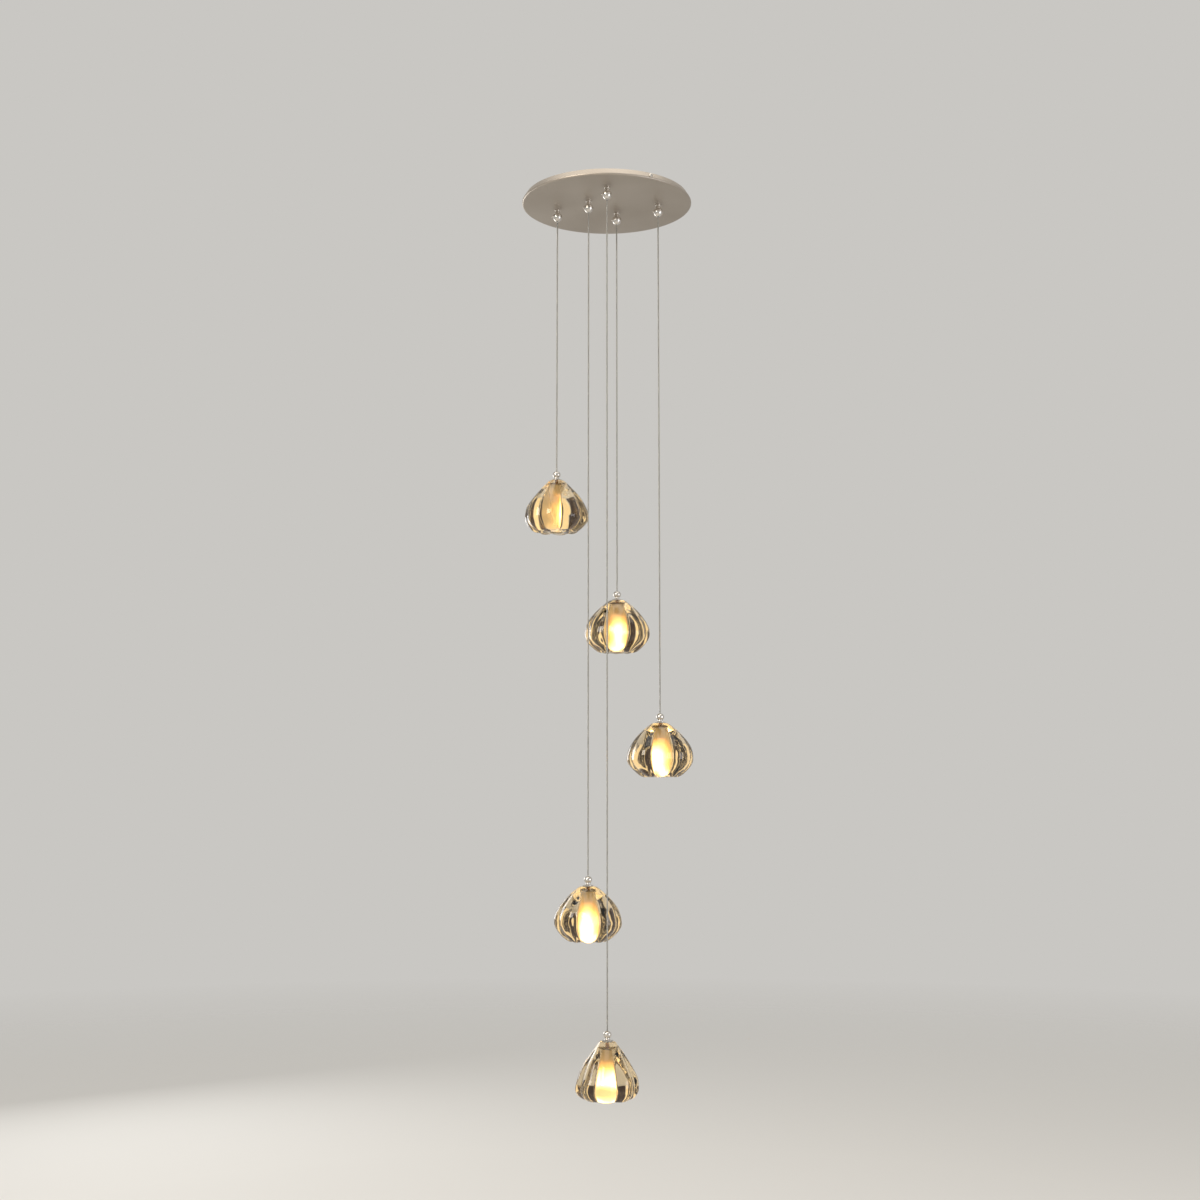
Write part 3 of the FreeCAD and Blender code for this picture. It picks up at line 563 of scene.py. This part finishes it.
def crystalGrid(number, shape):
    # each ring's radius is the profile's, less a share of the groove between two lobes. With b the
    # distance from a lobe's ridge, 1 at the groove, the groove is 1 - sqrt((1 - b^2)^2 + e^2), so
    # its floor is rounded; it fades out towards the seat and inside the mouth. Slow sines make no
    # two lobes quite alike
    radius, depth = crystalProfile(shape).T[:, :, None]
    angle = np.linspace(0, 2 * math.pi, shape["columns"], endpoint=False)[None, :]
    hand = crystalHand
    drift = hand["driftStep"] * number
    wander = (angle + hand["wander"] * np.sin(angle + drift)
              + hand["ripple"] * np.sin(3 * angle + 2 * drift))
    soft = shape["grooveWidth"]
    beside = 2 * np.abs(np.remainder(shape["lobes"] * wander / (2 * math.pi) + 0.5, 1) - 0.5)
    ridge = np.sqrt((1 - beside ** 2) ** 2 + soft ** 2)
    groove = (math.sqrt(1 + soft ** 2) - ridge) / (math.sqrt(1 + soft ** 2) - soft)
    groove = groove * (1 + hand["depthChange"] * np.sin(2 * angle + drift))
    outside = np.clip((radius - shape["cavity"] - hand["mouthFadeFrom"]) / hand["mouthFade"], 0, 1)
    lower = depth > shape["widest"]
    fade = np.sin(math.pi / 2 * np.clip(depth / shape["widest"] * hand["seatFade"], 0, 1))
    fade = fade * np.where(lower, outside, 1)
    fade = np.where(radius <= shape["cavity"], 0, fade)
    sway = 1 - shape["sway"] * (1 + np.sin(4 * math.pi * depth / shape["height"] + angle + drift)) * fade
    ring = radius * (1 - shape["groove"] * fade * groove) * sway
    climb = np.clip((depth - shape["widest"]) / hand["scallopOver"], 0, 1) ** 2
    lift = shape["scallop"] * groove * fade * climb
    turn = angle + math.radians(crystalMakes[number][1])
    grid = np.empty((*ring.shape, 3))
    grid[..., 0] = ring * np.cos(turn)
    grid[..., 1] = ring * np.sin(turn)
    grid[..., 2] = lift - depth
    return grid


def glassTop(number):
    # the centre of a crystal's top face, on its cord's axis
    return (*nodeAxis(f"cap_{number}"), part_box(f"shade_{number}")[1][2])


def markDepth(mesh, top, height):
    # how far down the glass each point lies: (top - z) / height
    points = np.empty(len(mesh.vertices) * 3)
    mesh.vertices.foreach_get("co", points)
    down = (top - points.reshape(-1, 3)[:, 2]) / height
    mesh.attributes.new("depth", "FLOAT", "POINT").data.foreach_set("value", down)


def addCrystal(number, common):
    x, y, top = glassTop(number)
    shape = {**common, **crystalForms[crystalMakes[number][0]]}
    grid = crystalGrid(number, shape) + np.array((x, y, top))
    mesh = tidyMesh(meshFromGrid(f"crystal_{number}", grid, closeDown=True))
    markDepth(mesh, top, shape["height"])
    middles = np.empty(len(mesh.polygons) * 3)
    mesh.polygons.foreach_get("center", middles)
    middles = middles.reshape(-1, 3)
    reach = np.hypot(middles[:, 0] - x, middles[:, 1] - y)
    # the bore's wall and roof are etched and carry the painted lamp light, found with a little to spare
    below = middles[:, 2] < top - shape["crown"] + 0.5 * mm
    inBore = (reach < shape["cavity"] * 1.01) & below
    mesh.polygons.foreach_set("material_index", inBore.astype(int))
    addPiece(f"crystal_{number}", mesh, [crystal, etched], f"pendant_{number}",
             [f"shade_{number}"])


for number in pendants:
    addCrystal(number, crystalShape)
print("crystals")


# Capsule lamps: a frosted tube with a domed end on a narrower base with two pins. Depths are
# measured down from the top of the glass
lampShape = {"radius": 6.5 * mm, "bottom": 76.5 * mm, "shoulder": 36.5 * mm, "baseRadius": 5.2 * mm,
             "baseTop": 27.5 * mm, "pinRadius": 0.4 * mm, "pinSpacing": 4 * mm, "pinTop": 20.5 * mm,
             "domeHeight": 6 * mm, "domeSteps": 12, "neckHeight": 2 * mm, "neckSteps": 6,
             "bevel": 0.5 * mm, "sides": 64, "pinSides": 16}


def addLamp(number, shape):
    x, y, top = glassTop(number)
    radius, narrow, bevel, pin = shape["radius"], shape["baseRadius"], shape["bevel"], shape["pinRadius"]
    bottom, shoulder, baseTop, pinTop = (-shape["bottom"], -shape["shoulder"], -shape["baseTop"],
                                         -shape["pinTop"])
    dome = bezier((0, bottom), (radius, bottom), (radius, bottom + shape["domeHeight"]),
                  shape["domeSteps"])
    neck = bezier((radius, shoulder - shape["neckHeight"]), (radius, shoulder), (narrow, shoulder),
                  shape["neckSteps"])
    glass = lathe("capsule", np.concatenate([dome, neck, [(0, shoulder)]]), (x, y, top), shape["sides"])
    base = lathe("lamp_base", [(0, shoulder), (narrow - bevel, shoulder), (narrow, shoulder + bevel),
                               (narrow, baseTop - bevel), (narrow - bevel, baseTop), (0, baseTop)],
                 (x, y, top), shape["sides"])
    pins = []
    for side in (-1, 1):
        pins.append(lathe("pin", [(0, baseTop), (pin, baseTop), (pin, pinTop), (0, pinTop)],
                          (x + side * shape["pinSpacing"] / 2, y, top), shape["pinSides"]))
    # the materials are the glass's, the base's and, for both pins, the third
    for index, part in enumerate([glass, base, *pins]):
        part.polygons.foreach_set("material_index", [min(index, 2)] * len(part.polygons))
    mesh = joinMeshes(f"capsule_lamp_{number}", [glass, base, *pins])
    markDepth(mesh, top, crystalShape["height"])
    addPiece(f"capsule_lamp_{number}", mesh, [capsuleGlow, lampBase, wire], f"pendant_{number}",
             [f"lamp_{number}"])


for number in pendants:
    addLamp(number, lampShape)
print("lamps")


# Stage and light: a pale floor that fades into an even pale backdrop, and four soft lamps
stage = {"colour": "#c9c7c3", "floorColour": "#dedcd8", "strength": 1.0, "floorLevel": -1.95,
         "floorRadius": 6.0, "fadeFrom": 2.5, "rings": 13, "sides": 64, "lampAim": (0, 0, -0.75)}
studioLamps = {
    "key": {"place": (-1.9, -2.3, 0.5), "size": 1.4, "power": 50, "colour": "#fff6ea"},
    "fill": {"place": (2.4, -1.4, -0.9), "size": 1.6, "power": 22, "colour": "#f4f6ff"},
    "back": {"place": (-1.7, 2.2, -0.7), "size": 1.2, "power": 16, "colour": "#ffffff"},
    "top": {"place": (0, -0.4, 1.6), "size": 2.5, "power": 26, "colour": "#fffaf2"},
}
cardRing = {"count": 12, "distance": 2.4, "low": -2.1, "high": 3.0}
studioCards = {
    "dark": {"turn": 0, "width": 0.84, "colour": "#301d10", "light": 0.18},
    "gold": {"turn": 15, "width": 0.34, "colour": "#e4d4b0", "light": 0.75},
}


def addBackdrop(settings):
    world = bpy.data.worlds.new("backdrop")
    bpy.context.scene.world = world
    world.use_nodes = True
    sky = world.node_tree.nodes["Background"]
    sky.inputs["Color"].default_value = hexColour(settings["colour"])
    sky.inputs["Strength"].default_value = settings["strength"]


def addFloor(settings):
    radii = np.linspace(0, 1, settings["rings"]) * settings["floorRadius"]
    profile = np.stack([radii, np.full_like(radii, settings["floorLevel"])], axis=1)
    mesh = tidyMesh(meshFromGrid("floor", spin(profile, settings["sides"])))
    floor = bpy.data.objects.new("floor", mesh)
    bpy.context.scene.collection.objects.link(floor)
    material, tree, shader = newMaterial("floor_paint", Base_Color=hexColour(settings["floorColour"]),
                                         Roughness=0.85)
    place = addNode(tree, "ShaderNodeTexCoord")
    distance = addNode(tree, "ShaderNodeVectorMath", settings={"operation": "LENGTH"},
                       links={0: place.outputs["Object"]})
    fade = addNode(tree, "ShaderNodeMapRange",
                   inputs={"From Min": settings["fadeFrom"], "From Max": settings["floorRadius"]},
                   links={"Value": distance.outputs["Value"]})
    clear = addNode(tree, "ShaderNodeBsdfTransparent")
    blend = addNode(tree, "ShaderNodeMixShader", links={0: fade.outputs["Result"]})
    tree.links.new(shader.outputs["BSDF"], blend.inputs[1])
    tree.links.new(clear.outputs["BSDF"], blend.inputs[2])
    tree.links.new(blend.outputs["Shader"], tree.nodes["Material Output"].inputs["Surface"])
    mesh.materials.append(material)


def addStudioLamps(lamps, target):
    for name, settings in lamps.items():
        light = bpy.data.lights.new(name, "AREA")
        light.size = settings["size"]
        light.energy = settings["power"]
        light.color = hexColour(settings["colour"])[:3]
        holder = bpy.data.objects.new(name, light)
        holder.location = settings["place"]
        aim = Vector(target) - Vector(settings["place"])
        holder.rotation_euler = aim.to_track_quat("-Z", "Y").to_euler()
        holder.visible_camera = False
        holder.visible_transmission = False
        bpy.context.scene.collection.objects.link(holder)


# Upright cards in a ring, as used to light glass: only refracted rays see them, and each lobe of
# the crystals bends them into dark and bright bands. A card is four corners at
# (distance cos a -+ width / 2 sin a, distance sin a +- width / 2 cos a), low and high
def addStudioCards(name, cards):
    angle = np.radians(cards["turn"] + np.arange(cards["count"]) * 360 / cards["count"])[:, None]
    side = np.array([-0.5, 0.5, 0.5, -0.5])[None, :] * cards["width"]
    corners = np.empty((cards["count"], 4, 3))
    corners[..., 0] = cards["distance"] * np.cos(angle) - side * np.sin(angle)
    corners[..., 1] = cards["distance"] * np.sin(angle) + side * np.cos(angle)
    corners[..., 2] = [cards["low"], cards["low"], cards["high"], cards["high"]]
    mesh = bpy.data.meshes.new(name)
    quads = np.arange(corners.size // 3).reshape(-1, 4)
    mesh.from_pydata(corners.reshape(-1, 3).tolist(), [], quads.tolist())
    ring = bpy.data.objects.new(name, mesh)
    bpy.context.scene.collection.objects.link(ring)
    colour = hexColour(cards["colour"])
    material, tree, shader = newMaterial(name, Base_Color=colour, Roughness=0.9, Emission_Color=colour,
                                         Emission_Strength=cards["light"])
    mesh.materials.append(material)
    for ray in ("visible_camera", "visible_diffuse", "visible_glossy", "visible_shadow"):
        setattr(ring, ray, False)


addBackdrop(stage)
addFloor(stage)
addStudioLamps(studioLamps, stage["lampAim"])
for name, cards in studioCards.items():
    addStudioCards(f"{name}_cards", {**cardRing, **cards})
bpy.context.scene.view_settings.view_transform = "Standard"
print("stage and light")
